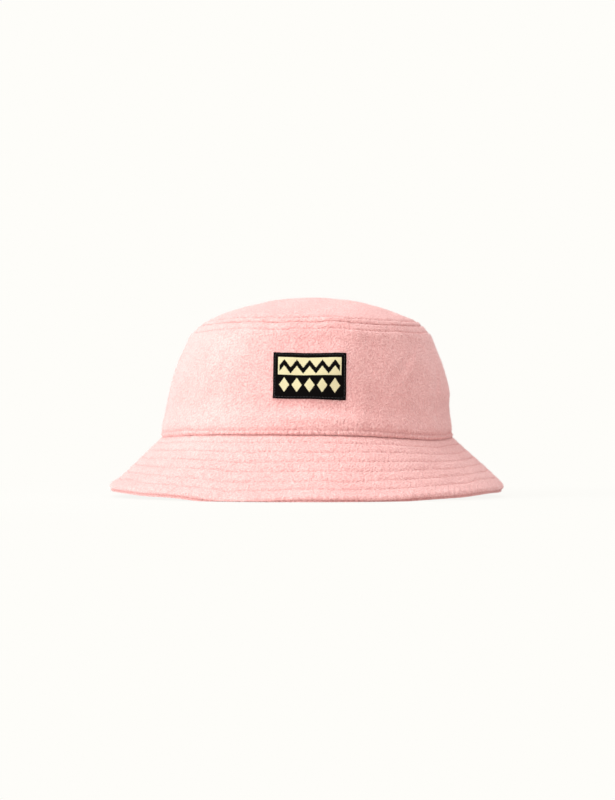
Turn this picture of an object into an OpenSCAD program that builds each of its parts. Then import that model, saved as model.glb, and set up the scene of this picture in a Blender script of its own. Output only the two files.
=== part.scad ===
// Soft towelling bucket hat, standing on its brim.
// Origin: centre of the footprint on the plane it rests on. +Z up, the wearer faces -Y.
// The whole hat is oval: every ring is turned round Z and then stretched front to back by depth_ratio.

/* [Crown] */
// Half of the crown's outside width, at its widest
crown_base_r = 93.6; // [91:0.1:97]
// Front-to-back length of the hat, as a share of its width
depth_ratio = 1.106; // [1.04:0.002:1.14]
// Height of the top of the crown above the table
hat_height = 127.5; // [124:0.5:131]
// Radius of the arc that the crown's side follows, from seam to shoulder
side_arc_r = 118; // [112:1:130]
// Height above the seam at which that arc is widest
side_arc_up = 8; // [4:0.5:12]
// Radius of the dome of the top panel
dome_r = 152; // [140:1:170]
// Radius of the round top panel, at its seam
tip_r = 71.6; // [68:0.2:72]

/* [Brim] */
// Height of the seam between crown and brim above the table
seam_z = 38; // [35:0.5:41]
// Half of the brim's outside width
brim_r = 127.3; // [122:0.1:131]
// Thickness of the finished brim, and of its round edge
brim_thickness = 6.4; // [5.8:0.1:7]
// Number of rows of stitching round the brim
brim_rows = 6; // [3:1:6]
// Distance from the crown seam to the first row, down the slope
first_row = 5.8; // [4:0.2:8]
// Distance between rows, down the slope
row_pitch = 6.8; // [5:0.1:6.8]
// Distance from the brim's edge to the row beside it
edge_row = 4; // [3.6:0.1:5]

/* [Cloth] */
// Thickness of the towelling
terry = 2.3; // [1.8:0.1:2.4]
// Thickness of the crown's lining
lining = 0.5; // [0.3:0.05:0.6]
// Thickness of the stiffener inside the brim
interlining = 0.8; // [0.5:0.05:0.8]
// Thickness of the sweatband
band = 1.2; // [0.8:0.1:1.6]
// Height of the sweatband
band_height = 32; // [24:1:38]
// Thickness of the sewing thread
thread = 0.6; // [0.4:0.05:0.8]
// Clearance between two neighbouring layers
gap = 0.15; // [0.1:0.01:0.2]

/* [Labels] */
// Width of the woven label on the front
label_w = 43.2; // [38:0.1:52]
// Height of the woven label on the front
label_h = 29; // [24:0.5:36]
// Height of the front label's middle above the crown seam
label_up = 36.7; // [34:0.1:42]
// Clockwise tilt of the front label, in degrees
label_tilt = 1.7; // [0:0.1:4]
// Thickness of a woven label
label_t = 0.6; // [0.4:0.05:0.8]
// Width and length of the care label inside
care_size = [26, 42];
// Width and length of the size label inside
size_size = [20, 20];

/* [Hidden] */
$fn = 144;

pink = [0.93, 0.74, 0.72];
pale_pink = [0.97, 0.86, 0.84];
thread_pink = [0.86, 0.62, 0.61];

// Depth of each crown layer's outer face below the outside of the hat
lining_depth = terry + gap;
band_depth = lining_depth + lining + gap;
band_inner_depth = band_depth + band;

// The brim's round edge: its centre in the r-z half-plane, cut flat where it stands on the table
rim_r = brim_thickness / 2;
rim_sink = 0.3;
rim_centre = [brim_r - rim_r, rim_r - rim_sink];
reach = rim_centre - [crown_base_r, seam_z];
slope_length = sqrt(norm(reach) ^ 2 - rim_r ^ 2);
slope_angle = atan2(-reach.y, reach.x) - asin(rim_r / norm(reach));
brim_inner_r = crown_base_r - band_inner_depth + 0.2;

// The two half rings of a layer meet at the sides with this many degrees between them
side_gap = 0.1;
far = 400;

// ---- Helpers ----

// Stretches a turned ring front to back into the hat's oval
module oval() scale([1, depth_ratio, 1]) children();

// A full ring of the 2D profile, in four quarter turns
module ring() for (start = [0 : 90 : 270]) oval() rotate_extrude(angle = 90, start = start) children();

// The front half ring (toward -Y) or the back half ring (toward +Y) of the 2D profile
module front_half() oval() rotate_extrude(angle = 180 - side_gap, start = 180 + side_gap / 2) children();
module back_half() oval() rotate_extrude(angle = 180 - side_gap, start = side_gap / 2) children();

// Half-plane profile of everything inside the crown's outside, drawn in by depth
module crown_outline(depth) {
    intersection() {
        translate([crown_base_r - side_arc_r, seam_z + side_arc_up]) circle(r = side_arc_r - depth);
        translate([0, hat_height - dome_r]) circle(r = dome_r - depth);
        translate([0, seam_z]) square([far, far]);
    }
}

// Profile of one crown layer between two depths
module crown_layer(outer, inner) {
    difference() {
        crown_outline(outer);
        crown_outline(inner);
    }
}

// The part of a profile within the top panel, and the part outside it
module within_tip() intersection() {
    children();
    square([tip_r, far]);
}
module beyond_tip() intersection() {
    children();
    translate([tip_r + gap, 0]) square([far, far]);
}

// Brim frame: x runs down the slope from the crown seam, y points out of the upper face
module on_brim() translate([crown_base_r, seam_z]) rotate(-slope_angle) children();

// Profile of one brim layer between two depths, trimmed under the crown
module brim_layer(outer, inner, end) {
    intersection() {
        on_brim() translate([-brim_thickness * 2, -inner]) square([end + brim_thickness * 2, inner - outer]);
        translate([brim_inner_r, -far]) square([far, far + seam_z - gap]);
    }
}

// The brim's upper ply: flat layer plus the round edge that it turns over
module brim_top_profile() {
    brim_layer(0, terry, slope_length);
    intersection() {
        translate(rim_centre) circle(r = rim_r);
        on_brim() translate([slope_length, -far / 2]) square([far, far]);
    }
}

// Cuts away what is below the table, which leaves the flat ring that the hat stands on
module stand_flat() difference() {
    children();
    translate([-far, -far, -far]) cube([2 * far, 2 * far, far]);
}

// Radius of the crown's outside at a height, on the side arc
function side_r(z) = crown_base_r - side_arc_r + sqrt(side_arc_r ^ 2 - (z - seam_z - side_arc_up) ^ 2);
// Height of the dome's outside at a radius
function dome_z(r) = hat_height - dome_r + sqrt(dome_r ^ 2 - r ^ 2);

// One row of thread lying on the crown's side at a height, or on the dome at a radius
module side_row(z) ring() translate([side_r(z) + thread / 2 + gap, z]) circle(d = thread, $fn = 8);
module dome_row(r) ring() translate([r, dome_z(r) + thread / 2 + gap]) circle(d = thread, $fn = 8);
// One row of thread lying on the brim's upper face, a distance down the slope
module brim_row(s) ring() on_brim() translate([s, thread / 2 + gap]) circle(d = thread, $fn = 8);
// One row of thread on the inside of the sweatband
module band_row(z) ring() {
    translate([side_r(z) - band_inner_depth - thread / 2 - gap, z]) circle(d = thread, $fn = 8);
}

// ---- Crown ----

module crown_tip() color(pink) ring() within_tip() crown_layer(0, terry);
module crown_side_front() color(pink) front_half() beyond_tip() crown_layer(0, terry);
module crown_side_back() color(pink) back_half() beyond_tip() crown_layer(0, terry);

module lining_profile() crown_layer(lining_depth, lining_depth + lining);
module lining_tip() color(pale_pink) ring() within_tip() lining_profile();
module lining_side_front() color(pale_pink) front_half() beyond_tip() lining_profile();
module lining_side_back() color(pale_pink) back_half() beyond_tip() lining_profile();

// One strip round the head, its two ends meeting at the back
module sweatband() color("mistyrose") oval()
    rotate_extrude(angle = 360 - side_gap * 2, start = 90 + side_gap) intersection() {
        crown_layer(band_depth, band_inner_depth);
        square([far, seam_z + band_height]);
    }

// ---- Brim ----

module brim_top_front() color(pink) stand_flat() front_half() brim_top_profile();
module brim_top_back() color(pink) stand_flat() back_half() brim_top_profile();

module brim_under_profile() brim_layer(brim_thickness - terry, brim_thickness, slope_length - gap);
module brim_under_front() color(pink) front_half() brim_under_profile();
module brim_under_back() color(pink) back_half() brim_under_profile();

module interlining_profile() {
    middle = brim_thickness / 2;
    brim_layer(middle - interlining / 2, middle + interlining / 2, slope_length - gap);
}
module brim_interlining_front() color("white") front_half() interlining_profile();
module brim_interlining_back() color("white") back_half() interlining_profile();

// ---- Labels ----

// A rectangle in front view, tilted as the front label is, reaching through the front of the crown
module label_window(w, h) {
    translate([0, 0, seam_z + label_up]) rotate([0, label_tilt, 0])
        translate([-w / 2, -far / 2, -h / 2]) cube([w, far / 2, h]);
}
// A skin over the crown's front between two heights above the cloth
module front_skin(from, to) oval() rotate_extrude(angle = 60, start = 240) crown_layer(-to, -from);

module front_label() color("#17171a") intersection() {
    front_skin(gap, gap + label_t);
    label_window(label_w, label_h);
}

module label_stitching() color("#2a2a2e") intersection() {
    front_skin(gap * 1.5 + label_t, gap * 1.5 + label_t + thread / 2);
    difference() {
        label_window(label_w - 1.6, label_h - 1.6);
        label_window(label_w - 1.6 - 2 * thread, label_h - 1.6 - 2 * thread);
    }
}

// Top edge of both inside labels, at the top of the sweatband
hang_z = seam_z + band_height;
// How far each inside label's flat sheet stands off the oval band, so that its corners clear it
inside_r = side_r(hang_z) - band_inner_depth;
care_x = sqrt(inside_r ^ 2 - (care_size.x / 2 / depth_ratio) ^ 2) - 1;
size_y = sqrt(inside_r ^ 2 - (size_size.x / 2) ^ 2) * depth_ratio - 1;

// A small sheet of woven tape, its top edge at the band's top
module hanging_label(size) translate([-size.x / 2, -label_t / 2, -size.y]) cube([size.x, label_t, size.y]);

module care_label() color("white") translate([care_x - label_t / 2, 0, hang_z]) rotate([0, 0, 90])
    hanging_label(care_size);
module size_label() color("white") translate([0, size_y - label_t / 2, hang_z]) hanging_label(size_size);

// ---- Sewing thread ----

module tip_topstitch_upper() color(thread_pink) dome_row(tip_r - 5);
module tip_topstitch_lower() color(thread_pink) dome_row(tip_r + 3.2);
module base_topstitch() color(thread_pink) side_row(seam_z + 3.6);
module brim_stitching() color(thread_pink) for (i = [0 : brim_rows - 1]) brim_row(first_row + i * row_pitch);
module brim_edge_stitching() color(thread_pink) brim_row(slope_length + rim_r - edge_row);
module sweatband_stitching() color(thread_pink) {
    band_row(seam_z + 2);
    band_row(seam_z + band_height - 2);
}

crown_tip();
crown_side_front();
crown_side_back();
brim_top_front();
brim_top_back();
brim_under_front();
brim_under_back();
brim_interlining_front();
brim_interlining_back();
lining_tip();
lining_side_front();
lining_side_back();
sweatband();
front_label();
label_stitching();
care_label();
size_label();
tip_topstitch_upper();
tip_topstitch_lower();
base_topstitch();
brim_stitching();
brim_edge_stitching();
sweatband_stitching();
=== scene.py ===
"""Pink towelling bucket hat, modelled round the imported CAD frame.

Cloth is worked out in millimetres and stored in metres.
"""
import math

import bpy
import numpy as np
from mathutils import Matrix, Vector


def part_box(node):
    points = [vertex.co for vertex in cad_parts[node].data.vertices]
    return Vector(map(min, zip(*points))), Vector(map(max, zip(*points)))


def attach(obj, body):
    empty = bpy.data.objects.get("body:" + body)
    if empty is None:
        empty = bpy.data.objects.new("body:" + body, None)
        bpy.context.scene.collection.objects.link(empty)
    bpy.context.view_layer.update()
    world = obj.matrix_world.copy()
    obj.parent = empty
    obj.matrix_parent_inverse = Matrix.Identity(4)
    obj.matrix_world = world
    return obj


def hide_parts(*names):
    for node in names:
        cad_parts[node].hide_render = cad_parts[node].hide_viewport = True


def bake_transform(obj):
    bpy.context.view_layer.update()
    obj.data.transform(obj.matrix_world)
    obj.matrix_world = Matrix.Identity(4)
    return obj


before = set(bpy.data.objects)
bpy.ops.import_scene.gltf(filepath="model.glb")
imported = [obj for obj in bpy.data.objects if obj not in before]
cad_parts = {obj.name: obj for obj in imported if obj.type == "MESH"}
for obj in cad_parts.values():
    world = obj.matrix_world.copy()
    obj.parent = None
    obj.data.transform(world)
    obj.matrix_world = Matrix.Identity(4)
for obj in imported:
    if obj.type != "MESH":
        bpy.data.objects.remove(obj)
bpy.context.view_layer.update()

# -------- driving dimensions, in millimetres

MM = 0.001
TAU = 2 * math.pi


def corners(node):
    """Lowest and highest corner of a CAD node, in millimetres."""
    low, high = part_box(node)
    return np.array(low) / MM, np.array(high) / MM


SIDE_LOW, SIDE_HIGH = corners("crown_side_front")
TIP_LOW, TIP_HIGH = corners("crown_tip")
_, BRIM_HIGH = corners("brim_top_front")
_, BAND_HIGH = corners("sweatband")
LABEL_LOW, LABEL_HIGH = corners("front_label")

BASE_R = SIDE_HIGH[0]
DEPTH_RATIO = -SIDE_LOW[1] / SIDE_HIGH[0]
SEAM_Z = SIDE_LOW[2]
TIP_R = TIP_HIGH[0]
TOP_Z = TIP_HIGH[2]
BRIM_R = BRIM_HIGH[0]
BAND_TOP_Z = BAND_HIGH[2]
LABEL_MID_Z = (LABEL_LOW[2] + LABEL_HIGH[2]) / 2

# Arcs of the crown's outline: its side, how far above the seam that is widest, its dome and its shoulder
SIDE_ARC_R = 118.0
SIDE_ARC_UP = 8.0
DOME_R = 152.0
SHOULDER_R = 20.0

# Thickness of each cloth, and the room between two of them
TERRY = 2.3
BRIM_PLY = 1.7
LINING = 0.5
BAND = 1.2
STIFFENER = 0.8
LAYER_GAP = 0.15

# Radius of the brim's round edge, and how far its middle sits below that radius above the table
RIM_R = 3.2
RIM_SINK = 1.35

# Rows of stitching on the brim, down the slope
BRIM_ROWS = 6
FIRST_ROW = 5.6
ROW_PITCH = 6.93

# Front label
LABEL_W = 44.3
LABEL_H = 29.0
LABEL_BORDER = 3.0
LABEL_TILT = math.radians(1.6)
LABEL_LEAN = 0.021
LABEL_LIFT = 1.0

# Length of a stitch with its gap, on the towelling
STITCH = 3.2


# -------- noise

def hashed(ix, iy, iz, seed):
    """A repeatable number from 0 to 1 for each cell of a lattice."""
    n = (ix * 73856093) ^ (iy * 19349663) ^ (iz * 83492791) ^ (seed * 2654435761)
    n = (n & 0xFFFFFFFF) * 1274126177 & 0xFFFFFFFF
    n = (n ^ (n >> 15)) * 2246822519 & 0xFFFFFFFF
    return ((n ^ (n >> 13)) & 0xFFFFFF) / float(0xFFFFFF)


def soft_noise(points, cell, seed):
    """Smooth noise from -1 to 1 with lumps about a cell across."""
    scaled = points / cell
    base = np.floor(scaled).astype(np.int64)
    part = scaled - base
    fade_x, fade_y, fade_z = np.moveaxis(part ** 3 * (part * (part * 6 - 15) + 10), -1, 0)
    x, y, z = np.moveaxis(base, -1, 0)
    total = 0
    for dx in (0, 1):
        for dy in (0, 1):
            for dz in (0, 1):
                weight = abs(1 - dx - fade_x) * abs(1 - dy - fade_y) * abs(1 - dz - fade_z)
                total = total + weight * hashed(x + dx, y + dy, z + dz, seed)
    return total * 2 - 1


def loop_noise(across, down, cell, seed):
    """Height from 0 to 1 of round loops of cloth, about a cell apart, each with its own height."""
    across, down = across / cell, down / cell
    column, row = np.floor(across).astype(np.int64), np.floor(down).astype(np.int64)
    nearest = np.full(across.shape, 9.0)
    height = np.zeros(across.shape)
    for dx in (-1, 0, 1):
        for dy in (-1, 0, 1):
            x, y = column + dx, row + dy
            gap_x = x + 0.5 + 0.7 * (hashed(x, y, 0, seed) - 0.5) - across
            gap_y = y + 0.5 + 0.7 * (hashed(x, y, 1, seed) - 0.5) - down
            distance = gap_x ** 2 + gap_y ** 2
            closer = distance < nearest
            nearest = np.where(closer, distance, nearest)
            height = np.where(closer, hashed(x, y, 2, seed), height)
    return (0.45 + 0.55 * height) * np.sqrt(np.clip(1 - nearest / 0.8, 0, 1))


def bell(distance, width):
    """A smooth bump of height 1 at distance 0."""
    return np.exp(-(distance / width) ** 2)


def smooth_step(value, start, end):
    t = np.clip((value - start) / (end - start), 0, 1)
    return t * t * (3 - 2 * t)


# -------- the hat's surface

def crown_profile():
    """Outside of the crown in the r-z half-plane, from apex to seam: dome, round shoulder, side arc."""
    dome_c = np.array([0.0, TOP_Z - DOME_R])
    side_c = np.array([BASE_R - SIDE_ARC_R, SEAM_Z + SIDE_ARC_UP])
    between = side_c - dome_c
    span = np.linalg.norm(between)
    near, far = DOME_R - SHOULDER_R, SIDE_ARC_R - SHOULDER_R
    along = (near ** 2 - far ** 2 + span ** 2) / (2 * span)
    aside = math.sqrt(near ** 2 - along ** 2)
    unit = between / span
    shoulder_c = dome_c + along * unit + aside * np.array([-unit[1], unit[0]])
    if shoulder_c[0] < 0:
        shoulder_c = dome_c + along * unit - aside * np.array([-unit[1], unit[0]])
    dome_end = math.atan2(*(shoulder_c - dome_c))
    side_start = math.atan2(*(shoulder_c - side_c))
    stretches = [(dome_c, DOME_R, 0, dome_end), (shoulder_c, SHOULDER_R, dome_end, side_start),
                 (side_c, SIDE_ARC_R, side_start, math.pi / 2 + math.asin(SIDE_ARC_UP / SIDE_ARC_R))]
    points = []
    for centre, radius, start, end in stretches:
        angle = np.linspace(start, end, 200)
        points.append(centre + radius * np.stack([np.sin(angle), np.cos(angle)], -1))
    points = np.concatenate(points)
    length = np.concatenate([[0], np.cumsum(np.linalg.norm(np.diff(points, axis=0), axis=1))])
    return length, points[:, 0], points[:, 1]


PROFILE_S, PROFILE_R, PROFILE_Z = crown_profile()
SEAM_R = PROFILE_R[-1]
WIDEST = int(np.argmax(PROFILE_R))

# Distances from the apex over the crown: to its seams, the sweatband's top and the rows beside the seams
BASE_S = PROFILE_S[-1]
TIP_S = float(np.interp(TIP_R, PROFILE_R[:WIDEST], PROFILE_S[:WIDEST]))
BAND_TOP_S = float(np.interp(-BAND_TOP_Z, -PROFILE_Z, PROFILE_S))
TIP_ROW_UP = TIP_S - 4.9
TIP_ROW_DOWN = TIP_S + 6.6
BASE_ROW = BASE_S - 3.6


def profile_at(s):
    """Radius and height of the crown's outline at a distance from the apex."""
    return np.interp(s, PROFILE_S, PROFILE_R), np.interp(s, PROFILE_S, PROFILE_Z)


def on_oval(theta, r, z):
    """A point at an angle round from the front, with +X at a quarter turn."""
    return np.stack([r * np.sin(theta), -DEPTH_RATIO * r * np.cos(theta), z], -1)


def facing(theta, degrees, width):
    """1 where an angle round is at the given degrees, fading over the given width in degrees."""
    sharp = 2 / math.radians(width) ** 2
    return np.exp(sharp * (np.cos(theta - math.radians(degrees)) - 1))


# How far the worn crown has ridden up on its brim, and how far it leans for each millimetre of height
CROWN_RISE = 1.4
CROWN_LEAN = 0.034

# Where the seam between crown and brim has dipped: angle round, width in degrees, and depth
SEAM_DIPS = [
    (57, 29, 3.3),
    (-75, 18, 0.9),
    (215, 50, 1.2),
]

# Height above and below the seam over which its dips fade out, which is also the depth of the brim's slope
SEAM_REACH = 52


def settle(points, theta, height):
    """The worn-in shape: the crown leans toward +X with height, and its seam dips in a few places."""
    moved = points.copy()
    moved[..., 0] += CROWN_LEAN * height * smooth_step(height, 0, 30)
    seam_rise = -0.3 - sum(depth * facing(theta, angle, width) for angle, width, depth in SEAM_DIPS)
    moved[..., 2] += seam_rise * (1 - smooth_step(np.abs(height), 0, SEAM_REACH))
    moved[..., 2] += CROWN_RISE * (1 - smooth_step(-height, 0, SEAM_REACH))
    return moved


# Broad hollows in the crown: angle round and spread in degrees, distance from the apex, length and depth
HOLLOWS = [
    (90, 40, BASE_S, 16, 0.9),
    (-5, 55, BASE_S - 32, 25, 4.4),
    (-9, 16, BASE_S - 46, 26, 1.8),
]

# Soft creases on the crown: angle round, distance from the apex, turn, length, width and depth
CREASES = [
    (-52, TIP_S + 34, 0.9, 13, 3.0, 0.5),
    (-34, TIP_S + 50, -0.3, 17, 3.2, 0.45),
    (2, BASE_S - 17.5, 0.04, 28, 3.6, 1.5),
    (47, TIP_S + 30, -0.7, 15, 3.0, 0.5),
    (66, TIP_S + 46, -1.1, 14, 2.8, 0.6),
    (128, TIP_S + 40, 0.7, 18, 3.4, 0.6),
    (178, TIP_S + 28, 0.1, 22, 3.6, 0.6),
    (232, TIP_S + 44, -0.6, 16, 3.0, 0.5),
]


def crown_drape(theta, s):
    """How far the soft crown stands in or out of its pattern, by angle and distance from the apex."""
    flat = np.stack([s * np.sin(theta), s * np.cos(theta), np.zeros_like(s)], -1)
    slack = 0.9 * soft_noise(flat, 55, 3) + 0.5 * soft_noise(flat, 26, 5) + 0.22 * soft_noise(flat, 12, 9)
    held = 1 - 0.65 * bell(s - TIP_S, 5) - 0.7 * bell(s - BASE_S, 9)
    fold = 0.0
    for angle, place, turn, length, width, depth in CREASES:
        across = (theta - math.radians(angle)) * 90
        down = s - place
        run = across * math.cos(turn) + down * math.sin(turn)
        off = down * math.cos(turn) - across * math.sin(turn)
        fold = fold - depth * bell(run, length) * (bell(off, width) - 0.6 * bell(off - 1.8 * width, width))
    in_front = (0.5 + 0.5 * np.cos(theta)) ** 2
    settled = -1.1 * bell(s - TIP_S - 3, 6) - 0.7 * bell(s, 28)
    settled = settled - (0.7 + 1.1 * in_front) * bell(s - TIP_S - 17, 12)
    for angle, spread, place, length, depth in HOLLOWS:
        settled = settled - depth * facing(theta, angle, spread) * bell(s - place, length)
    turned = np.degrees(theta)
    beside_label = smooth_step(turned, 11, 36) * (1 - smooth_step(turned, 56, 92))
    settled = settled - 3.0 * beside_label * bell(BASE_S - 50 - s, 34)
    swell = 1.7 * bell(BASE_S - 3 - s, 9) - 1.0 * bell(BASE_S - 20 - s, 10)
    return slack * held + fold + settled + swell * (0.3 + 0.7 * in_front)


# How the crown moved in its cloth simulation, for each angle and distance from the apex. The grid starts
# a little way from the apex, and no move is longer than the limit.
SAG = np.zeros((2, 2, 3))
SAG_START = 4.0
SAG_LIMIT = 1.6


def cubic_weights(t):
    """Weights of the four grid points round a place a share t past the second of them."""
    return (-t * (1 - t) ** 2 / 2, 1 - t * t * (5 - 3 * t) / 2,
            t * (1 + t * (4 - 3 * t)) / 2, -t * t * (1 - t) / 2)


def crown_sag(theta, s):
    """Move of the crown's cloth at a place, read smoothly from the simulated grid."""
    around, down = SAG.shape[:2]
    column = theta / TAU * around
    row = np.clip((s - SAG_START) / (BASE_S - SAG_START), 0, 1) * (down - 1)
    i, j = np.floor(column).astype(int), np.minimum(row.astype(int), down - 2)
    across = cubic_weights((column - i)[..., None])
    along = cubic_weights((row - j)[..., None])
    total = 0
    for m in range(4):
        for n in range(4):
            near = SAG[(i + m - 1) % around, np.clip(j + n - 1, 0, down - 1)]
            total = total + across[m] * along[n] * near
    return total


def crown_surface(theta, s, lift):
    """Point on the crown, lift millimetres out of its pattern, and the direction out of it."""
    r, z = profile_at(s)
    step = 0.4
    lower_r, lower_z = profile_at(s + step)
    upper_r, upper_z = profile_at(s - step)
    dr, dz = lower_r - upper_r, lower_z - upper_z
    down = np.stack([dr * np.sin(theta), -DEPTH_RATIO * dr * np.cos(theta), dz], -1)
    around = np.stack([np.cos(theta), DEPTH_RATIO * np.sin(theta), np.zeros_like(theta)], -1)
    out = np.cross(down, around)
    out /= np.linalg.norm(out, axis=-1, keepdims=True)
    total = lift + crown_drape(theta, s)
    points = on_oval(theta, r, z) + out * total[..., None] + crown_sag(theta, s)
    return settle(points, theta, z - SEAM_Z), out


# The brim's round edge: the middle of its roll, and where the flat of the brim meets it
RIM_CENTRE = np.array([BRIM_R - RIM_R, RIM_R - RIM_SINK])
BRIM_L = math.sqrt((RIM_CENTRE[0] - BASE_R) ** 2 + (RIM_CENTRE[1] - SEAM_Z) ** 2 - RIM_R ** 2)


def brim_top(theta, q):
    """Upper face of the brim, by angle and distance down the slope, before any stitching."""
    side = np.abs(np.sin(theta))
    raised = 3.3 * side ** 5 + 2.3 * smooth_step(side, 0.32, 0.72)
    raised = raised + 0.4 * np.sin(3 * theta + 0.6) * side + 0.3 * np.sin(5 * theta)
    reach = 0.4 * np.sin(2 * theta + 0.8) + 0.3 * np.sin(4 * theta + 2.1) - 0.6 * facing(theta, 90, 40)
    edge_r = RIM_CENTRE[0] + 0.62 * RIM_R + reach
    edge_z = RIM_CENTRE[1] + 0.53 * RIM_R + np.clip(raised, 0, None)
    edge = on_oval(theta, edge_r, edge_z)
    start = on_oval(theta, SEAM_R + 0.4, SEAM_Z + 0.2 + np.zeros_like(theta))
    share = q / BRIM_L
    point = start + (edge - start) * share[..., None]
    # The flare is deepest where share ** 3 * (1 - share) peaks, at 0.105
    straight = 1.3 * facing(theta, 90, 40) + 0.4 * facing(theta, -90, 40)
    flare = -1.8 * (1 - straight) * np.clip(share, 0, 1) ** 3 * (1 - share) / 0.105
    wave = (0.4 * np.sin(7 * theta + 1.0) + 0.3 * np.sin(11 * theta + 2.0)) * np.clip(share, 0, 1) ** 1.5
    point[..., 2] += flare + wave
    return settle(point, theta, -SEAM_REACH * np.clip(share, 0, 1))


# Distance down the slope, and round the roll, of the row beside the brim's edge
EDGE_ROW_Q = BRIM_L + 4.2


def brim_frame(theta, q):
    """Point, direction out of the upper face, and direction down the slope."""
    step = 0.5
    point = brim_top(theta, q)
    down = brim_top(theta, q + step) - brim_top(theta, q - step)
    around = brim_top(theta + 0.004, q) - brim_top(theta - 0.004, q)
    out = np.cross(down, around)
    out /= np.linalg.norm(out, axis=-1, keepdims=True)
    down /= np.linalg.norm(down, axis=-1, keepdims=True)
    return point, out, down


# -------- relief of seams, rows and pile

def needle_pull(along, spacing):
    """0 between needle holes and 1 at them, for a row whose stitches are spacing apart."""
    return np.cos(along / spacing * math.pi) ** 8


def row_relief(distance, along, depth, width=0.75, spacing=STITCH):
    """A stitched row: a soft furrow with a dimple at each needle hole."""
    furrow = bell(distance, width * 1.5) * 0.8 * depth
    holes = bell(distance, width) * needle_pull(along, spacing) * 0.35 * depth
    return -(furrow + holes)


# How much painted shade a stitched row adds to the pile's colour, and how much it flattens the pile
ROW_SHADE = 0.17

# Radius that turns an angle round the crown into a distance along its cloth
HEAD_R = 84


def round_place(theta, third):
    """A place for noise that joins up all the way round the hat, with any third coordinate."""
    return np.stack([90 * np.sin(theta), 90 * np.cos(theta), third + 0 * theta], -1)


def wobble_of(theta, row):
    """How far a row of stitching strays from its line, by angle round."""
    place = round_place(theta, 37.0 * row)
    return 0.55 * soft_noise(place, 17, 61) + 0.3 * soft_noise(place, 6, 62)


def label_shade(theta, s):
    """1 just below the front label, where its edge stands over the pile."""
    x = BASE_R * np.sin(theta)
    _, z = profile_at(s)
    below = LABEL_MID_Z + LABEL_LIFT - LABEL_H / 2 - z - x * math.sin(LABEL_TILT)
    across = 1 - smooth_step(np.abs(x), LABEL_W / 2 - 1, LABEL_W / 2 + 1)
    return (np.cos(theta) > 0) * across * bell(below - 1.3, 1.5)


def tightness(theta):
    """How tightly the crown is drawn in at its base seam: most in front and behind, least over the ears."""
    return 1.25 - 0.9 * np.sin(theta) ** 2


def crown_relief(theta, s):
    """Relief of the crown's seams and rows, and a mask from 0 to 1 of painted shade in the seams, the rows
    and under the front label, which also flattens the pile.
    """
    along = theta * HEAD_R
    to_tip = s - TIP_S
    to_base = BASE_S - s
    relief = -0.6 * bell(to_tip, 0.7) + 0.3 * bell(np.abs(to_tip) - 2.3, 1.3)
    lumps = soft_noise(round_place(theta, 0), 2.8, 73)
    relief = relief - 1.3 * tightness(theta) * (1 - 0.4 * lumps) * bell(to_base, 0.7)
    relief = relief + 0.6 * (1 + 0.5 * lumps) * bell(to_base - 2.0, 1.7)
    to_upper_row = s - TIP_ROW_UP - wobble_of(theta, 7)
    to_lower_row = s - TIP_ROW_DOWN - wobble_of(theta, 8)
    to_base_row = s - BASE_ROW - 0.5 * wobble_of(theta, 9)
    relief = relief + row_relief(to_upper_row, along, 0.6)
    relief = relief + row_relief(to_lower_row, along + 1.2, 0.7)
    relief = relief + row_relief(to_base_row, along, 0.7)
    relief = relief - 0.6 * needle_pull(along + 1.5 * wobble_of(theta, 4), 3.4) * bell(to_base - 1.5, 1.2)
    pucker = 0.45 * soft_noise(round_place(theta, s * 1.6), 6.5, 71)
    relief = relief + pucker * (bell(to_tip, 5.5) + 0.5 * bell(to_base - 2, 4))
    # The rows' painted shade fades toward both sides, following the strong light on the left side
    rows = (1.3 - 0.8 * np.sin(theta) ** 2) * (bell(to_upper_row, 0.7) + bell(to_lower_row, 0.7))
    dashes = 0.8 + 1.6 * tightness(theta) * np.clip(0.5 + lumps, 0, 1)
    rows = rows + dashes * bell(to_base_row, 0.6)
    # Painted shade in the furrows of the tip seam, the base seam and the rows, deepest where the crown is
    # drawn in tightest
    base_seam = np.clip(0.9 * tightness(theta) * (1 - 0.4 * lumps), 0, 1) * bell(to_base, 0.6)
    seam = np.maximum(np.maximum(0.3 * bell(to_tip, 0.7), base_seam), ROW_SHADE * rows)
    # Painted shadow just below the front label's lower edge
    seam = np.maximum(seam, 0.32 * label_shade(theta, s))
    return relief, seam


def brim_relief(theta, q):
    """Relief of the brim's rows, and a mask of painted shade in the base seam, the stitched rows and the
    edge row, which also flattens the pile.
    """
    along = theta * (88 + 0.6 * q)
    relief, rows = 0.0, 0.0
    for row in range(BRIM_ROWS):
        off = q - FIRST_ROW - row * ROW_PITCH
        stray = wobble_of(theta, row)
        relief = relief + row_relief(off - stray, along + row * 1.7, 0.42)
        # The rows' painted shade fades toward both sides, following the strong light on the left side
        rows = rows + (1 - 0.45 * np.sin(theta) ** 2) * bell(off - stray, 0.7)
        relief = relief + 0.16 * np.sin(along / 6.5 + row * 2.1) * bell(off - ROW_PITCH / 2, 2.4)
    to_edge_row = q - EDGE_ROW_Q - 0.5 * wobble_of(theta, BRIM_ROWS)
    relief = relief + row_relief(to_edge_row, along, 1.2, 0.6)
    pucker = 0.12 * np.sin(along / 5.2 * TAU + 2 * np.sin(theta * 8)) * bell(q - BRIM_L, 4)
    # Painted shade in the crease of the base seam and along the edge row
    base_seam = 0.5 * tightness(theta) * bell(q, 0.6)
    # The edge row's painted shade also fades toward the sides, following the strong light on the left side
    edge_row_shade = (0.65 - 0.3 * np.sin(theta) ** 2) * bell(to_edge_row, 0.6)
    return relief + pucker, base_seam + edge_row_shade + ROW_SHADE * rows


# The brim's roll is flatter below than above, so that both plies and the stiffener just fill it
BRIM_THICK = 2 * BRIM_PLY + STIFFENER + 2 * LAYER_GAP
UNDER_SHARE = BRIM_THICK / RIM_R - 1


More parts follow.
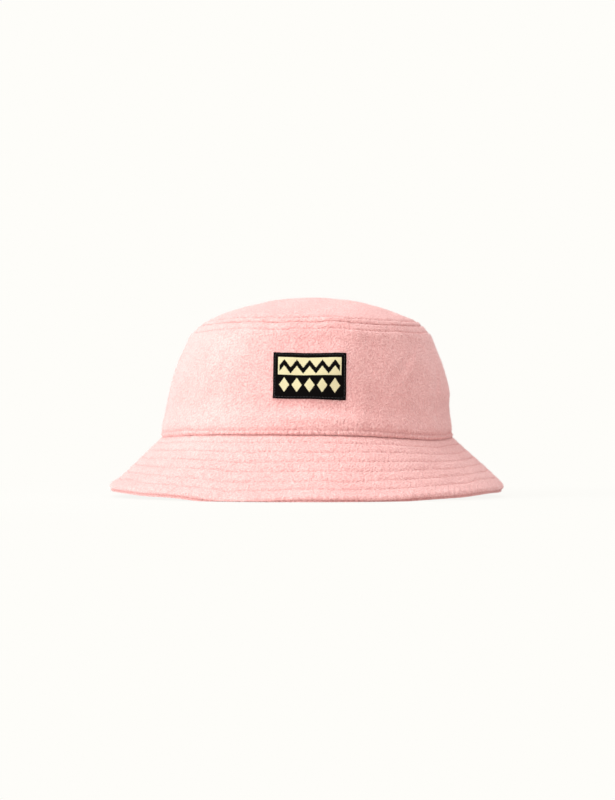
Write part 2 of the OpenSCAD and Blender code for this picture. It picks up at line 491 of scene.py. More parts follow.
def brim_outside(theta, q, lift):
    """Point on the upper ply and the direction out of it.

    q is below 0 in the tuck, then the distance down the slope. Past BRIM_L it goes on round the edge.
    """
    flat_q = np.clip(q, 0, BRIM_L)
    turn = np.clip(q - BRIM_L, 0, None) / RIM_R
    point, out, down = brim_frame(theta, flat_q)
    over = np.where(turn < math.pi / 2, 1.0, UNDER_SHARE) * np.cos(turn)
    direction = out * over[..., None] + down * np.sin(turn)[..., None]
    tuck = np.clip(q, None, 0)[..., None] * on_oval(theta, 1 + 0 * q, -0.25 + 0 * q)
    return point - out * RIM_R + direction * (RIM_R + lift)[..., None] + tuck, direction


def pile(across, down, seed):
    """Height of the towelling's loops, about 0 to 1, by place on the cloth. Some patches are fluffier."""
    place = np.stack([across, down, 0 * down], -1)
    lumps = 0.5 + 0.5 * soft_noise(place, 3.5, seed + 7)
    loops = 0.85 * loop_noise(across, down, 1.3, seed) + 0.15 * lumps
    fluff = 0.85 + 0.25 * soft_noise(place, 9, seed + 9)
    return 0.5 + (loops - 0.5) * fluff


# -------- mesh building

def build_object(name, points, quads, polygons=(), layers=None):
    """An object from points in millimetres, quads as an array and further polygons as lists."""
    mesh = bpy.data.meshes.new(name)
    mesh.vertices.add(len(points))
    mesh.vertices.foreach_set("co", (np.asarray(points) * MM).astype(np.float32).ravel())
    loops = [np.asarray(quads).ravel()] + [np.asarray(p) for p in polygons]
    sizes = np.concatenate([np.full(len(quads), np.asarray(quads).shape[1]), [len(p) for p in polygons]])
    loops = np.concatenate(loops).astype(np.int32)
    starts = np.concatenate([[0], np.cumsum(sizes)[:-1]]).astype(np.int32)
    mesh.loops.add(len(loops))
    mesh.loops.foreach_set("vertex_index", loops)
    mesh.polygons.add(len(sizes))
    mesh.polygons.foreach_set("loop_start", starts)
    mesh.polygons.foreach_set("use_smooth", np.ones(len(sizes), bool))
    for layer, values in (layers or {}).items():
        attribute = mesh.attributes.new(layer, "FLOAT", "POINT")
        attribute.data.foreach_set("value", values.astype(np.float32))
    mesh.update(calc_edges=True)
    mesh.validate()
    thing = bpy.data.objects.new(name, mesh)
    bpy.context.scene.collection.objects.link(thing)
    return thing


def border(rows, columns, step=1):
    """Grid indices round the edge of a grid, one step apart, counter-clockwise."""
    bottom = [(i, 0) for i in range(0, rows - 1, step)]
    right = [(rows - 1, j) for j in range(0, columns - 1, step)]
    top = [(i, columns - 1) for i in range(rows - 1, 0, -step)]
    left = [(0, j) for j in range(columns - 1, 0, -step)]
    return bottom + right + top + left


def grid_quads(index):
    """The four corners of each square of a grid of vertex numbers."""
    return np.stack([index[:-1, :-1], index[1:, :-1], index[1:, 1:], index[:-1, 1:]], -1).reshape(-1, 4)


# How many times coarser the back of a piece of cloth is than its face
BACK_STEP = 4


def closed_sheet(name, face, back, layers=None, flip=False):
    """Cloth with a finely modelled face and a coarser back, both grids of points, closed round its edge."""
    step = BACK_STEP
    rows, columns = face.shape[:2]
    fine = np.arange(rows * columns).reshape(rows, columns)
    coarse_points = back[::step, ::step]
    coarse = np.arange(coarse_points.shape[0] * coarse_points.shape[1]).reshape(coarse_points.shape[:2])
    coarse = coarse + rows * columns
    face_quads = grid_quads(fine)
    back_quads = grid_quads(coarse)[:, [0, 3, 2, 1]]
    fine_loop = [fine[i, j] for i, j in border(rows, columns)]
    coarse_loop = [coarse[i // step, j // step] for i, j in border(rows, columns, step)]
    walls = []
    for k in range(len(coarse_loop)):
        wall = [fine_loop[(k * step + m) % len(fine_loop)] for m in range(step + 1)]
        walls.append(wall[::-1] + [coarse_loop[k], coarse_loop[(k + 1) % len(coarse_loop)]])
    quads = np.concatenate([face_quads, back_quads])
    if flip:
        quads = quads[:, ::-1]
        walls = [w[::-1] for w in walls]
    points = np.concatenate([face.reshape(-1, 3), coarse_points.reshape(-1, 3)])
    full = {}
    for key, values in (layers or {}).items():
        full[key] = np.concatenate([values.ravel(), values[::step, ::step].ravel()])
    return build_object(name, points, quads, walls, full)


def grid_of(first, second):
    """Two grids that hold every pair of the given values."""
    return np.meshgrid(first, second, indexing="ij")


def grid_size(length, spacing):
    """Number of grid points for a length, one more than a multiple of the back's step."""
    return int(round(length / spacing / BACK_STEP)) * BACK_STEP + 1


# -------- materials

def new_material(name):
    material = bpy.data.materials.new(name)
    material.use_nodes = True
    tree = material.node_tree
    return material, tree, tree.nodes["Principled BSDF"]


def feed(tree, socket, value):
    """Links an input socket to another socket, or sets it to a number or a colour."""
    if hasattr(value, "is_linked"):
        tree.links.new(value, socket)
    else:
        socket.default_value = value


def set_inputs(tree, node, **values):
    """Feeds a node's inputs by name, with _ for each space."""
    for key, value in values.items():
        feed(tree, node.inputs[key.replace("_", " ")], value)


def add(tree, kind, **values):
    """A node with its inputs fed or its properties set, by name."""
    node = tree.nodes.new(kind)
    for key, value in values.items():
        if key.replace("_", " ") in node.inputs:
            set_inputs(tree, node, **{key: value})
        else:
            setattr(node, key, value)
    return node


def mix_colors(tree, factor, first, second, blend="MIX"):
    node = add(tree, "ShaderNodeMix", data_type="RGBA", blend_type=blend)
    for socket, value in ((0, factor), (6, first), (7, second)):
        feed(tree, node.inputs[socket], value)
    return node.outputs[2]


def coordinates(tree):
    """Places in the piece's own space, so that no pattern depends on UVs."""
    return tree.nodes.new("ShaderNodeTexCoord").outputs["Object"]


def noise_at(tree, scale, detail):
    noise = add(tree, "ShaderNodeTexNoise", Scale=scale, Detail=detail, Vector=coordinates(tree))
    return noise.outputs["Fac"]


def stretch(tree, value, low, high):
    """A value spread so that low becomes 0 and high becomes 1."""
    return add(tree, "ShaderNodeMapRange", From_Min=low, From_Max=high, Value=value).outputs["Result"]


def calculate(tree, operation, first, second):
    """A maths node on two values, each a socket or a number."""
    node = add(tree, "ShaderNodeMath", operation=operation)
    feed(tree, node.inputs[0], first)
    feed(tree, node.inputs[1], second)
    return node.outputs[0]


def mul(tree, first, second):
    return calculate(tree, "MULTIPLY", first, second)


def bump(tree, height, distance, strength, normal=None):
    node = add(tree, "ShaderNodeBump", Strength=strength, Distance=distance, Height=height)
    if normal is not None:
        set_inputs(tree, node, Normal=normal)
    return node.outputs["Normal"]


def towelling(name, light, deep):
    """Looped pile: painted shade, darker and redder, in the pits and valleys between loops and in fine
    specks, stronger in random patches; painted shade from the seam mask; fibre bump and sheen.
    """
    material, tree, shader = new_material(name)
    pile_height = add(tree, "ShaderNodeAttribute", attribute_name="pile")
    seam = add(tree, "ShaderNodeAttribute", attribute_name="seam")
    cells = add(tree, "ShaderNodeTexVoronoi", Scale=900.0, Vector=coordinates(tree))
    pits = stretch(tree, cells.outputs["Distance"], 0.38, 0.85)
    patches = stretch(tree, noise_at(tree, 70, 3), 0.36, 0.68)
    tufts = noise_at(tree, 860, 1.5)
    fibre = noise_at(tree, 2600, 3)
    drift = noise_at(tree, 24, 3)
    # Painted shade: the second colour stands for shadow deep in the pile, mixed in where loops are low, in
    # fine specks and in the pits between cells
    valley_shade = stretch(tree, pile_height.outputs["Fac"], 0.72, 0.2)
    color = mix_colors(tree, mul(tree, valley_shade, 0.6), light, deep)
    color = mix_colors(tree, mul(tree, stretch(tree, tufts, 0.62, 0.34), 0.65), color, deep)
    shown = mul(tree, pits, calculate(tree, "ADD", mul(tree, patches, 0.3), 0.25))
    color = mix_colors(tree, shown, color, deep)
    drifted = mix_colors(tree, 1.0, color, (0.95, 0.90, 0.90, 1), "MULTIPLY")
    color = mix_colors(tree, stretch(tree, drift, 0.35, 0.65), drifted, color)
    # Painted shade: colour darkened in the seams, stitched rows and under the front label, by the mask layer
    dark = mix_colors(tree, 1.0, color, (0.58, 0.38, 0.375, 1), "MULTIPLY")
    color = mix_colors(tree, seam.outputs["Fac"], color, dark)
    normal = bump(tree, cells.outputs["Distance"], -0.0003, 0.5)
    normal = bump(tree, tufts, 0.0010, 1.0, normal)
    normal = bump(tree, fibre, 0.00018, 0.6, normal)
    set_inputs(tree, shader, Base_Color=color, Normal=normal, Roughness=0.8, Specular_IOR_Level=0.3,
               Sheen_Weight=0.4, Sheen_Roughness=0.5, Sheen_Tint=(1.0, 0.93, 0.92, 1))
    return material


def woven(name, color, dark, scale, sheen=0.1, roughness=0.8, shine=0.2):
    """Plain woven cloth: two crossed sets of yarns in object space."""
    material, tree, shader = new_material(name)
    waves = []
    for direction in ("X", "DIAGONAL"):
        wave = add(tree, "ShaderNodeTexWave", Scale=scale, Distortion=0.6, Detail=1.0, wave_type="BANDS",
                   bands_direction=direction, Vector=coordinates(tree))
        waves.append(wave.outputs["Fac"])
    yarns = mul(tree, *waves)
    drift = stretch(tree, noise_at(tree, 60, 2), 0.3, 0.7)
    tone = mix_colors(tree, yarns, dark, color)
    shaded = mix_colors(tree, 1.0, tone, (0.9, 0.9, 0.9, 1), "MULTIPLY")
    set_inputs(tree, shader, Base_Color=mix_colors(tree, drift, shaded, tone), Roughness=roughness,
               Normal=bump(tree, yarns, 0.0001, 0.7), Specular_IOR_Level=shine, Sheen_Weight=sheen)
    return material


def thread_material(name, color):
    """Twisted thread: a fine mottle of a deeper tone, with a little bump."""
    material, tree, shader = new_material(name)
    twist = noise_at(tree, 1800, 2)
    deep = [c * 0.72 for c in color[:3]] + [1]
    shown = mix_colors(tree, stretch(tree, twist, 0.35, 0.65), deep, color)
    set_inputs(tree, shader, Base_Color=shown, Normal=bump(tree, twist, 0.0001, 0.8), Roughness=0.6,
               Specular_IOR_Level=0.3)
    return material


# Colour of the loop tops, then the painted shade of the pile's pits and valleys
TOWEL = towelling("pink_towelling", (0.89, 0.53, 0.50, 1), (0.66, 0.29, 0.275, 1))
LINING_CLOTH = woven("pale_lining", (0.88, 0.66, 0.63, 1), (0.70, 0.46, 0.44, 1), 500)
BAND_CLOTH = woven("band_twill", (0.86, 0.58, 0.55, 1), (0.62, 0.36, 0.34, 1), 420)
STIFF_CLOTH = woven("stiffener_cloth", (0.85, 0.84, 0.80, 1), (0.7, 0.69, 0.66, 1), 300)
LABEL_BLACK = woven("label_black", (0.006, 0.004, 0.0035, 1), (0.002, 0.0015, 0.0015, 1), 900,
                    sheen=0.0, roughness=0.9, shine=0.04)
LABEL_CREAM = woven("label_cream", (0.87, 0.78, 0.47, 1), (0.60, 0.53, 0.31, 1), 900, 0.05, 0.6)
TAPE_WHITE = woven("tape_white", (0.86, 0.85, 0.82, 1), (0.70, 0.69, 0.66, 1), 800, 0.0, 0.45)
PINK_THREAD = thread_material("pink_thread", (0.84, 0.42, 0.40, 1))
BLACK_THREAD = thread_material("black_thread", (0.03, 0.03, 0.032, 1))


# -------- cloth simulation of the crown

def simulate_crown():
    """Lets the crown sag and buckle as slack cloth, held fast at the brim and loosely to its pattern."""
    around, down, last_frame = 120, 44, 24
    theta, s = grid_of(np.arange(around) * TAU / around, np.linspace(SAG_START, BASE_S, down))
    before, _ = crown_surface(theta, s, 0 * s)
    index = np.arange(theta.size).reshape(theta.shape)
    beside = np.roll(index, -1, axis=0)
    quads = np.stack([index[:, :-1], index[:, 1:], beside[:, 1:], beside[:, :-1]], -1).reshape(-1, 4)
    sheet = build_object("simulated_crown", before.reshape(-1, 3), quads)
    held = sheet.vertex_groups.new(name="held")
    grip = 0.35 + 0.25 * bell(s - TIP_S, 4)
    grip[:, -2:] = 1.0
    for vertex, weight in enumerate(grip.ravel()):
        held.add([vertex], float(weight), "REPLACE")
    cloth = sheet.modifiers.new("cloth", "CLOTH")
    cloth.point_cache.frame_end = last_frame
    settings = cloth.settings
    settings.vertex_group_mass = "held"
    settings.quality = 8
    settings.mass = 0.12
    settings.tension_stiffness = 18
    settings.compression_stiffness = 18
    settings.shear_stiffness = 6
    settings.bending_stiffness = 4
    settings.effector_weights.gravity = 0.15
    settings.shrink_min = -0.022
    for number in range(1, last_frame + 1):
        bpy.context.scene.frame_set(number)
    moved = sheet.evaluated_get(bpy.context.evaluated_depsgraph_get()).data
    after = np.empty(before.size, np.float32)
    moved.vertices.foreach_get("co", after)
    bpy.context.scene.frame_set(1)
    bpy.data.objects.remove(sheet)
    move = after.reshape(before.shape) / MM - before
    for _ in range(2):
        move = (np.roll(move, 1, 0) + 2 * move + np.roll(move, -1, 0)) / 4
        move[:, 1:-1] = (move[:, :-2] + 2 * move[:, 1:-1] + move[:, 2:]) / 4
    size = np.linalg.norm(move, axis=-1, keepdims=True)
    return move * np.minimum(1, SAG_LIMIT / np.maximum(size, 1e-6))


SAG = simulate_crown()


# -------- placing pieces


def finish_piece(thing, body, node, slot, *materials):
    """Gives a piece its materials and its body, and hides the CAD node it replaces. Without a body it's soft
    crown.
    """
    for material in materials:
        thing.data.materials.append(material)
    if body is None:
        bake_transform(thing)
    else:
        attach(thing, body)
    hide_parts(node)


def half_angles(half, count):
    """Angles round the front or the back half, short of the side seams by a hair."""
    middle = 0 if half == "front" else math.pi
    reach = math.pi / 2 - 0.0008
    return np.linspace(middle - reach, middle + reach, count)


# Lengths to cover with a grid, a little over: half the crown, half the brim, the top panel and all the band
HALF_CROWN, HALF_BRIM, TIP_WIDTH, WHOLE_BAND = 300, 370, 150, 600

# Height of the towelling's loops, and the open seam left between two panels
PILE_DEPTH = 0.22
SEAM_GAP = 0.08


# -------- crown

def crown_panel(node, body, theta, s, loops):
    """A towelling panel of the crown: surface, relief and loops, with the layers that its material reads."""
    shape, seam = crown_relief(theta, s)
    points, out = crown_surface(theta, s, shape)
    height = PILE_DEPTH * (loops - 0.5) * (1 - 0.6 * seam)
    face = points + out * height[..., None]
    back, _ = crown_surface(theta, s, 0.4 * shape - TERRY)
    piece = closed_sheet(node + "_cloth", face, back, layers={"pile": loops, "seam": seam})
    finish_piece(piece, body, node, "towelling", TOWEL)


def crown_side(half):
    theta, s = grid_of(half_angles(half, grid_size(HALF_CROWN, 0.5)),
                       np.linspace(TIP_S + SEAM_GAP, BASE_S, grid_size(BASE_S - TIP_S, 0.52)))
    crown_panel("crown_side_" + half, None, theta, s, pile(theta * BASE_R, s, 11))


def disc_grid(count):
    """Angle and share of the radius for a square grid bent into a disc."""
    a, b = grid_of(np.linspace(-1, 1, count), np.linspace(-1, 1, count))
    x = a * np.sqrt(1 - b ** 2 / 2)
    y = b * np.sqrt(1 - a ** 2 / 2)
    return np.arctan2(x, -y), np.hypot(x, y)


def crown_tip():
    theta, share = disc_grid(grid_size(TIP_WIDTH, 0.5))
    s = share * (TIP_S - SEAM_GAP)
    crown_panel("crown_tip", "crown_top", theta, s, pile(s * np.sin(theta), s * np.cos(theta), 23))


# Where the outer faces of the lining and the sweatband lie, clear of the seams' dented backs
LINING_OUTER = -TERRY - LAYER_GAP - 0.35
BAND_OUTER = LINING_OUTER - LINING - 2 * LAYER_GAP


def lining_panel(node, body, theta, s, slack):
    face, _ = crown_surface(theta, s, LINING_OUTER - LINING + slack)
    back, _ = crown_surface(theta, s, LINING_OUTER + 0 * s)
    piece = closed_sheet(node + "_cloth", face, back, flip=True)
    finish_piece(piece, body, node, "lining", LINING_CLOTH)


def lining_side(half):
    theta, s = grid_of(half_angles(half, grid_size(HALF_CROWN, 1.5)),
                       np.linspace(TIP_S + 0.1, BASE_S - 0.5, grid_size(BASE_S - TIP_S, 1.5)))
    slack = 0.12 * soft_noise(np.stack([theta * HEAD_R, s, 0 * s], -1), 9, 21)
    lining_panel("lining_side_" + half, None, theta, s, slack)


def lining_tip():
    theta, share = disc_grid(grid_size(TIP_WIDTH, 1.5))
    s = share * (TIP_S - 0.1)
    lining_panel("lining_tip", "crown_top", theta, s, 0 * s)


# Distance of each row of stitching from the sweatband's edge
BAND_ROW = 2


def sweatband():
    gap = 0.002
    theta, s = grid_of(np.linspace(-math.pi + gap, math.pi - gap, grid_size(WHOLE_BAND, 1.0)),
                       np.linspace(BAND_TOP_S, BASE_S - 0.3, grid_size(BASE_S - BAND_TOP_S, 0.7)))
    edge = bell(s - BAND_TOP_S, 0.7) + bell(BASE_S - s, 0.7)
    along = theta * HEAD_R
    furrows = row_relief(s - BAND_TOP_S - BAND_ROW, along, 0.5)
    furrows = furrows + row_relief(BASE_S - BAND_ROW - s, along, 0.5)
    face, _ = crown_surface(theta, s, BAND_OUTER - BAND * (1 - 0.45 * edge) - furrows)
    back, _ = crown_surface(theta, s, BAND_OUTER + 0 * s)
    piece = closed_sheet("sweatband_tape", face, back, flip=True)
    finish_piece(piece, "shell", "sweatband", "band", BAND_CLOTH)


# -------- brim

# How far the brim's upper ply runs in under the crown
TUCK = 1.8


def rest_on_table(points):
    """Eases what would hang below the table up onto it."""
    z = points[..., 2]
    ease = 0.25
    points[..., 2] = (z + np.sqrt(z ** 2 + ease ** 2)) / 2 + 0.02
    return points


def brim_upper(half):
    """Upper ply of half the brim, turned round the edge."""
    reach = BRIM_L + math.pi * RIM_R * 0.96
    theta, q = grid_of(half_angles(half, grid_size(HALF_BRIM, 0.5)),
                       np.linspace(-TUCK, reach, grid_size(reach, 0.52)))
    shape, seam = brim_relief(theta, q)
    loops = pile(theta * (BASE_R + 0.5 * q), q, 31)
    # Painted shade on the lower side of the brim's roll, which faces down away from the light
    seam = seam + 0.08 * smooth_step(q - BRIM_L, 3.4, 5.5)
    face, _ = brim_outside(theta, q, shape + PILE_DEPTH * (loops - 0.5) * (1 - 0.5 * np.clip(seam, 0, 1)))
    back, _ = brim_outside(theta, q, np.where(q > BRIM_L, 0, 0.2 * shape) - BRIM_PLY)
    face = rest_on_table(face)
    piece = closed_sheet("brim_top_%s_cloth" % half, face, back, layers={"pile": loops, "seam": seam})
    finish_piece(piece, "shell", "brim_top_" + half, "towelling", TOWEL)


def brim_under(half):
    """Under ply of half the brim, from beneath the crown to where the upper ply turns in."""
    theta, q = grid_of(half_angles(half, grid_size(HALF_BRIM, 0.62)),
                       np.linspace(-1.5, BRIM_L - 0.25, grid_size(BRIM_L, 0.62)))
    point, out, _ = brim_frame(theta, q)
    shape, _ = brim_relief(theta, q)
    shape = shape - 0.6 * bell(q - BRIM_L, 1.0)
    surface = point - out * (BRIM_THICK + shape * 0.8)[..., None]
    loops = pile(theta * (BASE_R + 0.5 * q), q, 47)
    face = surface - out * (PILE_DEPTH * (loops - 0.5))[..., None]
    back = point - out * (BRIM_THICK - BRIM_PLY)
    # Painted shade along the under ply's outer edge, in the crevice under the roll
    layers = {"pile": loops, "seam": 0.7 * bell(q - BRIM_L, 0.9)}
    piece = closed_sheet("brim_under_%s_cloth" % half, face, back, layers=layers, flip=True)
    finish_piece(piece, "shell", "brim_under_" + half, "towelling", TOWEL)


def brim_stiffener(half):
    """Stiffener of half the brim, midway between the plies."""
    theta, q = grid_of(half_angles(half, grid_size(HALF_BRIM, 2)),
                       np.linspace(0, BRIM_L - 1, grid_size(BRIM_L, 2)))
    point, out, _ = brim_frame(theta, q)
    middle = BRIM_THICK / 2
    piece = closed_sheet("brim_stiffener_" + half, point - out * (middle - STIFFENER / 2),
                         point - out * (middle + STIFFENER / 2))
    finish_piece(piece, "shell", "brim_interlining_" + half, "stiffener", STIFF_CLOTH)


# -------- stitches

def stitch_run(name, starts, ends, outs, radius, sink, material, body, node, slot):
    """One mesh of separate stitches, each from start to end, arched out a little and sunk at both ends."""
    sides, rings = 6, 7
    t = np.linspace(0, 1, rings)
    along = ends - starts
    length = np.linalg.norm(along, axis=-1, keepdims=True)
    forward = along / length
    side = np.cross(forward, outs)
    side /= np.linalg.norm(side, axis=-1, keepdims=True)
    up = np.cross(side, forward)
    arch = np.sin(t * math.pi) ** 0.7 * (sink + radius * 0.4) - sink
    fat = radius * (0.35 + 0.65 * np.sin(np.clip(t, 0.04, 0.96) * math.pi) ** 0.5)
    angle = np.arange(sides) * TAU / sides
    centre = (starts[:, None] + along[:, None] * t[None, :, None] + up[:, None] * arch[None, :, None])
    ring = (side[:, None, None] * np.cos(angle)[None, None, :, None]
            + up[:, None, None] * np.sin(angle)[None, None, :, None])
    points = centre[:, :, None] + ring * fat[None, :, None, None]
    count = len(starts)
    index = np.arange(count * rings * sides).reshape(count, rings, sides)
    nxt = np.roll(index, -1, axis=2)
    quads = np.stack([index[:, :-1], nxt[:, :-1], nxt[:, 1:], index[:, 1:]], -1).reshape(-1, 4)
    caps = [list(index[k, 0][::-1]) for k in range(count)] + [list(index[k, -1]) for k in range(count)]
    piece = build_object(name, points.reshape(-1, 3), quads, caps)
    finish_piece(piece, body, node, slot, material)


def ring_stitches(surface, spacing, shift=0.0):
    """Start, end and outward direction of each stitch along a ring that surface(theta) gives."""
    share = 0.82
    fine = np.linspace(0, TAU, 4001)
    ring, _ = surface(fine)
    length = np.concatenate([[0], np.cumsum(np.linalg.norm(np.diff(ring, axis=0), axis=1))])
    count = int(length[-1] / spacing)
    pitch = length[-1] / count
    first = (np.arange(count) + shift) * pitch
    theta_a = np.interp(first % length[-1], length, fine)
    theta_b = np.interp((first + pitch * share) % length[-1], length, fine)
    start, out = surface(theta_a)
    end, _ = surface(theta_b)
    return start, end, out


def row_of(outside, relief, place, row, stray=1.0):
    """A row's line for ring_stitches, on the crown or the brim, straying as the row's furrow does."""
    def surface(theta):
        down = place + stray * wobble_of(theta, row)
        return outside(theta, down, relief(theta, down)[0] * 0.8 + 0.02)
    return surface


def pink_stitches(name, runs, body, node, radius=0.2, sink=0.5):
    """Pink stitching from one or more rings of stitches."""
    run = [np.concatenate(parts) for parts in zip(*runs)]
    stitch_run(name, *run, radius, sink, PINK_THREAD, body, node, "thread")


def towel_stitches():
    for node, place, row, stray, body in (("tip_topstitch_upper", TIP_ROW_UP, 7, 1, "crown_top"),
                                          ("tip_topstitch_lower", TIP_ROW_DOWN, 8, 1, None),
                                          ("base_topstitch", BASE_ROW, 9, 0.5, "shell")):
        run = ring_stitches(row_of(crown_surface, crown_relief, place, row, stray), STITCH)
        pink_stitches(node.replace("topstitch", "stitches"), [run], body, node)
    runs = []
    for row in range(BRIM_ROWS):
        surface = row_of(brim_outside, brim_relief, FIRST_ROW + row * ROW_PITCH, row)
        runs.append(ring_stitches(surface, STITCH, shift=0.3 * row))
    pink_stitches("brim_stitches", runs, "shell", "brim_stitching")
    run = ring_stitches(row_of(brim_outside, brim_relief, EDGE_ROW_Q, BRIM_ROWS, 0.5), STITCH)
    pink_stitches("brim_edge_stitches", [run], "shell", "brim_edge_stitching")


def band_row(s_place):
    def surface(theta):
        points, out = crown_surface(theta, s_place + 0 * theta, BAND_OUTER - BAND + 0.12 + 0 * theta)
        return points, -out
    return surface


def band_stitches():
    runs = [ring_stitches(band_row(place), 3.6) for place in (BAND_TOP_S + BAND_ROW, BASE_S - BAND_ROW)]
    pink_stitches("band_stitches", runs, "shell", "sweatband_stitching", radius=0.24, sink=0.45)


# -------- labels

def label_place(x, y, lift):
    """Point on the crown's front under a place on the label: x to the right and y up from its middle."""
    across = x - LABEL_LEAN * y
    upward = y - x * math.sin(LABEL_TILT)
    z = LABEL_MID_Z + LABEL_LIFT + upward
    s = np.interp(-z, -PROFILE_Z, PROFILE_S)
    r, _ = profile_at(s)
    theta = np.arcsin(across / r)
    theta = np.arcsin(across / (r + crown_drape(theta, s)))
    return crown_surface(theta, s, crown_relief(theta, s)[0] * 0.3 + lift)


# Distance of the label's stitching from its edge, and the length of a stitch with its gap
LABEL_ROW = 1.2
LABEL_STITCH = 1.9


def cream_yarn(x, y):
    """Where the label's pattern shows cream: a panel with a black zigzag over a row of diamonds."""
    inset = np.minimum(LABEL_W / 2 - np.abs(x), LABEL_H / 2 - np.abs(y))
    repeat = (LABEL_W - 2 * LABEL_BORDER) / 5
    phase = np.abs((x / repeat) % 1 - 0.5) * 2
    panel = (inset > LABEL_BORDER) & (y > 0.6)
    zigzag = np.abs(y - 3.4 - 4.9 * phase) > 1.9
    rim_line = (inset < LABEL_BORDER + 0.8) | (y < 1.4)
    diamonds = (inset > LABEL_BORDER) & ((1 - phase) * repeat / 2 + np.abs(y + 5.6) * 0.68 < 3.1)
    return (panel & (zigzag | rim_line)) | (diamonds & (y < -0.8))


def front_label():
    spacing = 0.3
    x, y = grid_of(np.linspace(-LABEL_W / 2, LABEL_W / 2, grid_size(LABEL_W, spacing)),
                   np.linspace(-LABEL_H / 2, LABEL_H / 2, grid_size(LABEL_H, spacing)))
    inset = np.minimum(LABEL_W / 2 - np.abs(x), LABEL_H / 2 - np.abs(y))
    cream = cream_yarn(x, y)
    weave = 0.03 * np.sin(x / 0.9 * TAU) * np.sin(y / 0.6 * TAU)
    stitched = row_relief(inset - LABEL_ROW, x + y, 0.22, 0.4, LABEL_STITCH)
    round_edge = -0.35 * bell(inset, 0.35)
    lift = 0.85 + 0.06 * cream + weave + stitched + round_edge
    face, _ = label_place(x, y, lift)
    back, _ = label_place(x, y, 0.3 + 0 * x)
    piece = closed_sheet("front_label_weave", face, back, flip=True)
    finish_piece(piece, None, "front_label", "black_weave", LABEL_BLACK, LABEL_CREAM)
    middle = cream_yarn((x[:-1, :-1] + x[1:, 1:]) / 2, (y[:-1, :-1] + y[1:, 1:]) / 2).ravel()
    marks = np.zeros(len(piece.data.polygons), np.int32)
    marks[: len(middle)] = middle
    piece.data.polygons.foreach_set("material_index", marks)


def label_stitches():
    half_w, half_h = LABEL_W / 2 - LABEL_ROW, LABEL_H / 2 - LABEL_ROW
    length = LABEL_STITCH * 0.8
    starts, ends = [], []
    for sign in (-1, 1):
        for k in np.arange(-half_w, half_w - LABEL_STITCH, LABEL_STITCH):
            starts.append((k, sign * half_h))
            ends.append((k + length, sign * half_h))
        for k in np.arange(-half_h, half_h - LABEL_STITCH, LABEL_STITCH):
            starts.append((sign * half_w, k))
            ends.append((sign * half_w, k + length))
    start, out = label_place(*np.transpose(starts), 0.9)
    end, _ = label_place(*np.transpose(ends), 0.9)
    stitch_run("label_stitches", start, end, out, 0.17, 0.2, BLACK_THREAD, None, "label_stitching",
               "label_thread")


def hanging_label(name, node, body, along, inward):
    """A satin label hanging by its top edge in its CAD box, with a soft curl toward its free end."""
    low, high = corners(node)
    middle = (low + high) / 2
    width = (high - low)[along]
    height = high[2] - low[2]
    u, v = grid_of(np.linspace(-0.5, 0.5, grid_size(width, 0.5)), np.linspace(0, 1, grid_size(height, 0.5)))
    across = np.zeros(3)
    across[along] = width
    curl = 1.2 * v ** 2 * np.cos(u * 2.2) + 0.25 * np.sin(v * 7 + u * 3)
    edge = np.minimum(0.5 - np.abs(u), 0.5) * width
    weave = 0.02 * np.sin(u * width / 0.8 * TAU) - 0.1 * bell(edge, 0.5)
    base = middle + u[..., None] * across
    base[..., 2] = high[2] - v * height
    inward = np.array(inward, float)
    face = base + (curl + 0.22 + weave)[..., None] * inward
    back = base + (curl - 0.22)[..., None] * inward
    flip = np.dot(np.cross(across, (0, 0, -1)), inward) < 0
    piece = closed_sheet(name, face, back, flip=bool(flip))
    finish_piece(piece, body, node, "label_tape", TAPE_WHITE)


for half in ("front", "back"):
    crown_side(half)
    brim_upper(half)
    brim_under(half)
    brim_stiffener(half)
    lining_side(half)
crown_tip()
lining_tip()
sweatband()
towel_stitches()
band_stitches()
front_label()
label_stitches()
hanging_label("care_label_tape", "care_label", "care_flap", 1, (-1, 0, 0))
hanging_label("size_label_tape", "size_label", "size_flap", 0, (0, -1, 0))


# -------- stage, light and camera

BACKGROUND = (0.991, 0.982, 0.947, 1)


def mix_shaders(tree, *three):
    """Mixes two shaders: the share of the second, the first and the second."""
    node = tree.nodes.new("ShaderNodeMixShader")
    for socket, value in zip(node.inputs, three):
        feed(tree, socket, value)
    return node.outputs[0]


def camera_only(tree, seen, unseen):
    """A shader that the camera sees as one thing and all light sees as another."""
    path = tree.nodes.new("ShaderNodeLightPath")
    return mix_shaders(tree, path.outputs["Is Camera Ray"], unseen, seen)


def make_world():
    world = bpy.data.worlds.new("studio")
    bpy.context.scene.world = world
    world.use_nodes = True
    tree = world.node_tree
    tree.nodes.clear()
    seen = add(tree, "ShaderNodeBackground", Color=BACKGROUND, Strength=1.0)
    unseen = add(tree, "ShaderNodeBackground", Color=(1.06, 0.88, 0.87, 1), Strength=0.63)
    output = tree.nodes.new("ShaderNodeOutputWorld")
    tree.links.new(camera_only(tree, seen.outputs[0], unseen.outputs[0]), output.inputs[0])


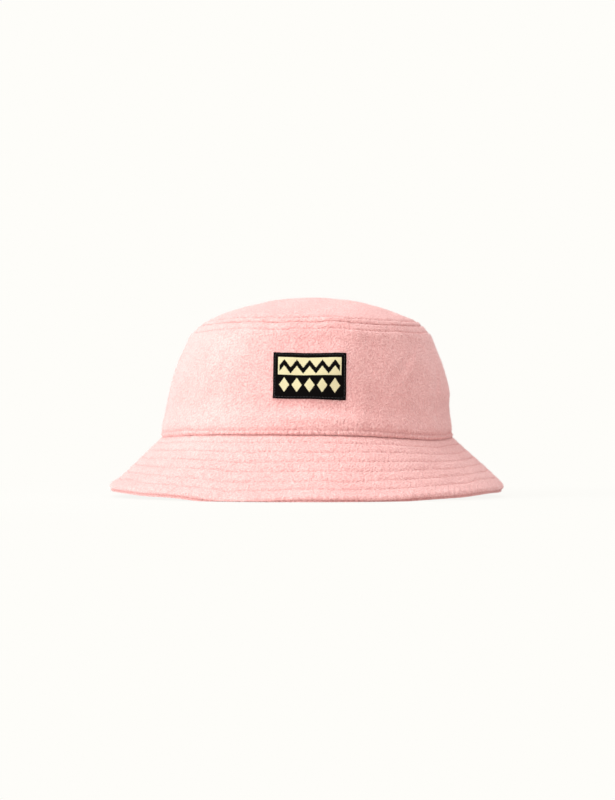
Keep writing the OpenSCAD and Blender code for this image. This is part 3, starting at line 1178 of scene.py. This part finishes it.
def make_floor():
    """Seamless with the background for the camera, apart from a faint shadow round the hat."""
    mesh = bpy.data.meshes.new("floor")
    mesh.from_pydata([(-6, -6, 0), (6, -6, 0), (6, 6, 0), (-6, 6, 0)], [], [(0, 1, 2, 3)])
    floor = bpy.data.objects.new("floor", mesh)
    bpy.context.scene.collection.objects.link(floor)
    material, tree, shader = new_material("floor_paint")
    tree.nodes.remove(shader)
    unseen = add(tree, "ShaderNodeBsdfDiffuse", Color=(0.86, 0.85, 0.84, 1))
    plain = add(tree, "ShaderNodeEmission", Color=BACKGROUND, Strength=1.0)
    glow = add(tree, "ShaderNodeEmission", Color=BACKGROUND, Strength=0.922)
    faint = add(tree, "ShaderNodeBsdfDiffuse", Color=(0.05, 0.05, 0.05, 1))
    both = tree.nodes.new("ShaderNodeAddShader")
    tree.links.new(glow.outputs[0], both.inputs[0])
    tree.links.new(faint.outputs[0], both.inputs[1])
    away = add(tree, "ShaderNodeVectorMath", operation="LENGTH", Vector=coordinates(tree))
    fade = stretch(tree, away.outputs["Value"], 0.15, 0.4)
    seen = mix_shaders(tree, fade, both.outputs[0], plain.outputs[0])
    output = tree.nodes["Material Output"]
    tree.links.new(camera_only(tree, seen, unseen.outputs[0]), output.inputs[0])
    floor.data.materials.append(material)


def area_light(name, place, size, power):
    """A square area light aimed at the middle of the hat, a little short of red as the photo's light is."""
    light = bpy.data.lights.new(name, "AREA")
    light.size = size
    light.energy = power
    light.color = (0.88, 1.0, 1.0)
    lamp = bpy.data.objects.new(name, light)
    bpy.context.scene.collection.objects.link(lamp)
    lamp.location = place
    aim = Vector((0, 0, 0.06)) - lamp.location
    lamp.rotation_euler = aim.to_track_quat("-Z", "Y").to_euler()


def make_camera():
    """Level with the seam, so that it reads as a line, at the distance that gives the brim its curve."""
    data = bpy.data.cameras.new("camera")
    camera = bpy.data.objects.new("camera", data)
    bpy.context.scene.collection.objects.link(camera)
    distance = 1.5
    view_height = 0.5184
    sensor = 36
    camera.location = (0.0, -distance, (SEAM_Z + CROWN_RISE) * MM)
    camera.rotation_euler = (math.pi / 2, 0, 0)
    data.sensor_width = sensor
    data.lens = sensor * distance / view_height
    data.shift_y = 0.044
    data.clip_end = 50
    data.dof.use_dof = True
    data.dof.focus_distance = distance - DEPTH_RATIO * BASE_R * MM
    data.dof.aperture_fstop = 8
    bpy.context.scene.camera = camera


make_world()
make_floor()
area_light("key", (-1.45, -0.98, 0.83), 0.9, 25.5)
area_light("wash", (-1.3, -0.3, 1.1), 0.9, 4.5)
area_light("top", (-0.2, -0.2, 1.7), 1.2, 22)
make_camera()
bpy.context.scene.view_settings.view_transform = "Standard"
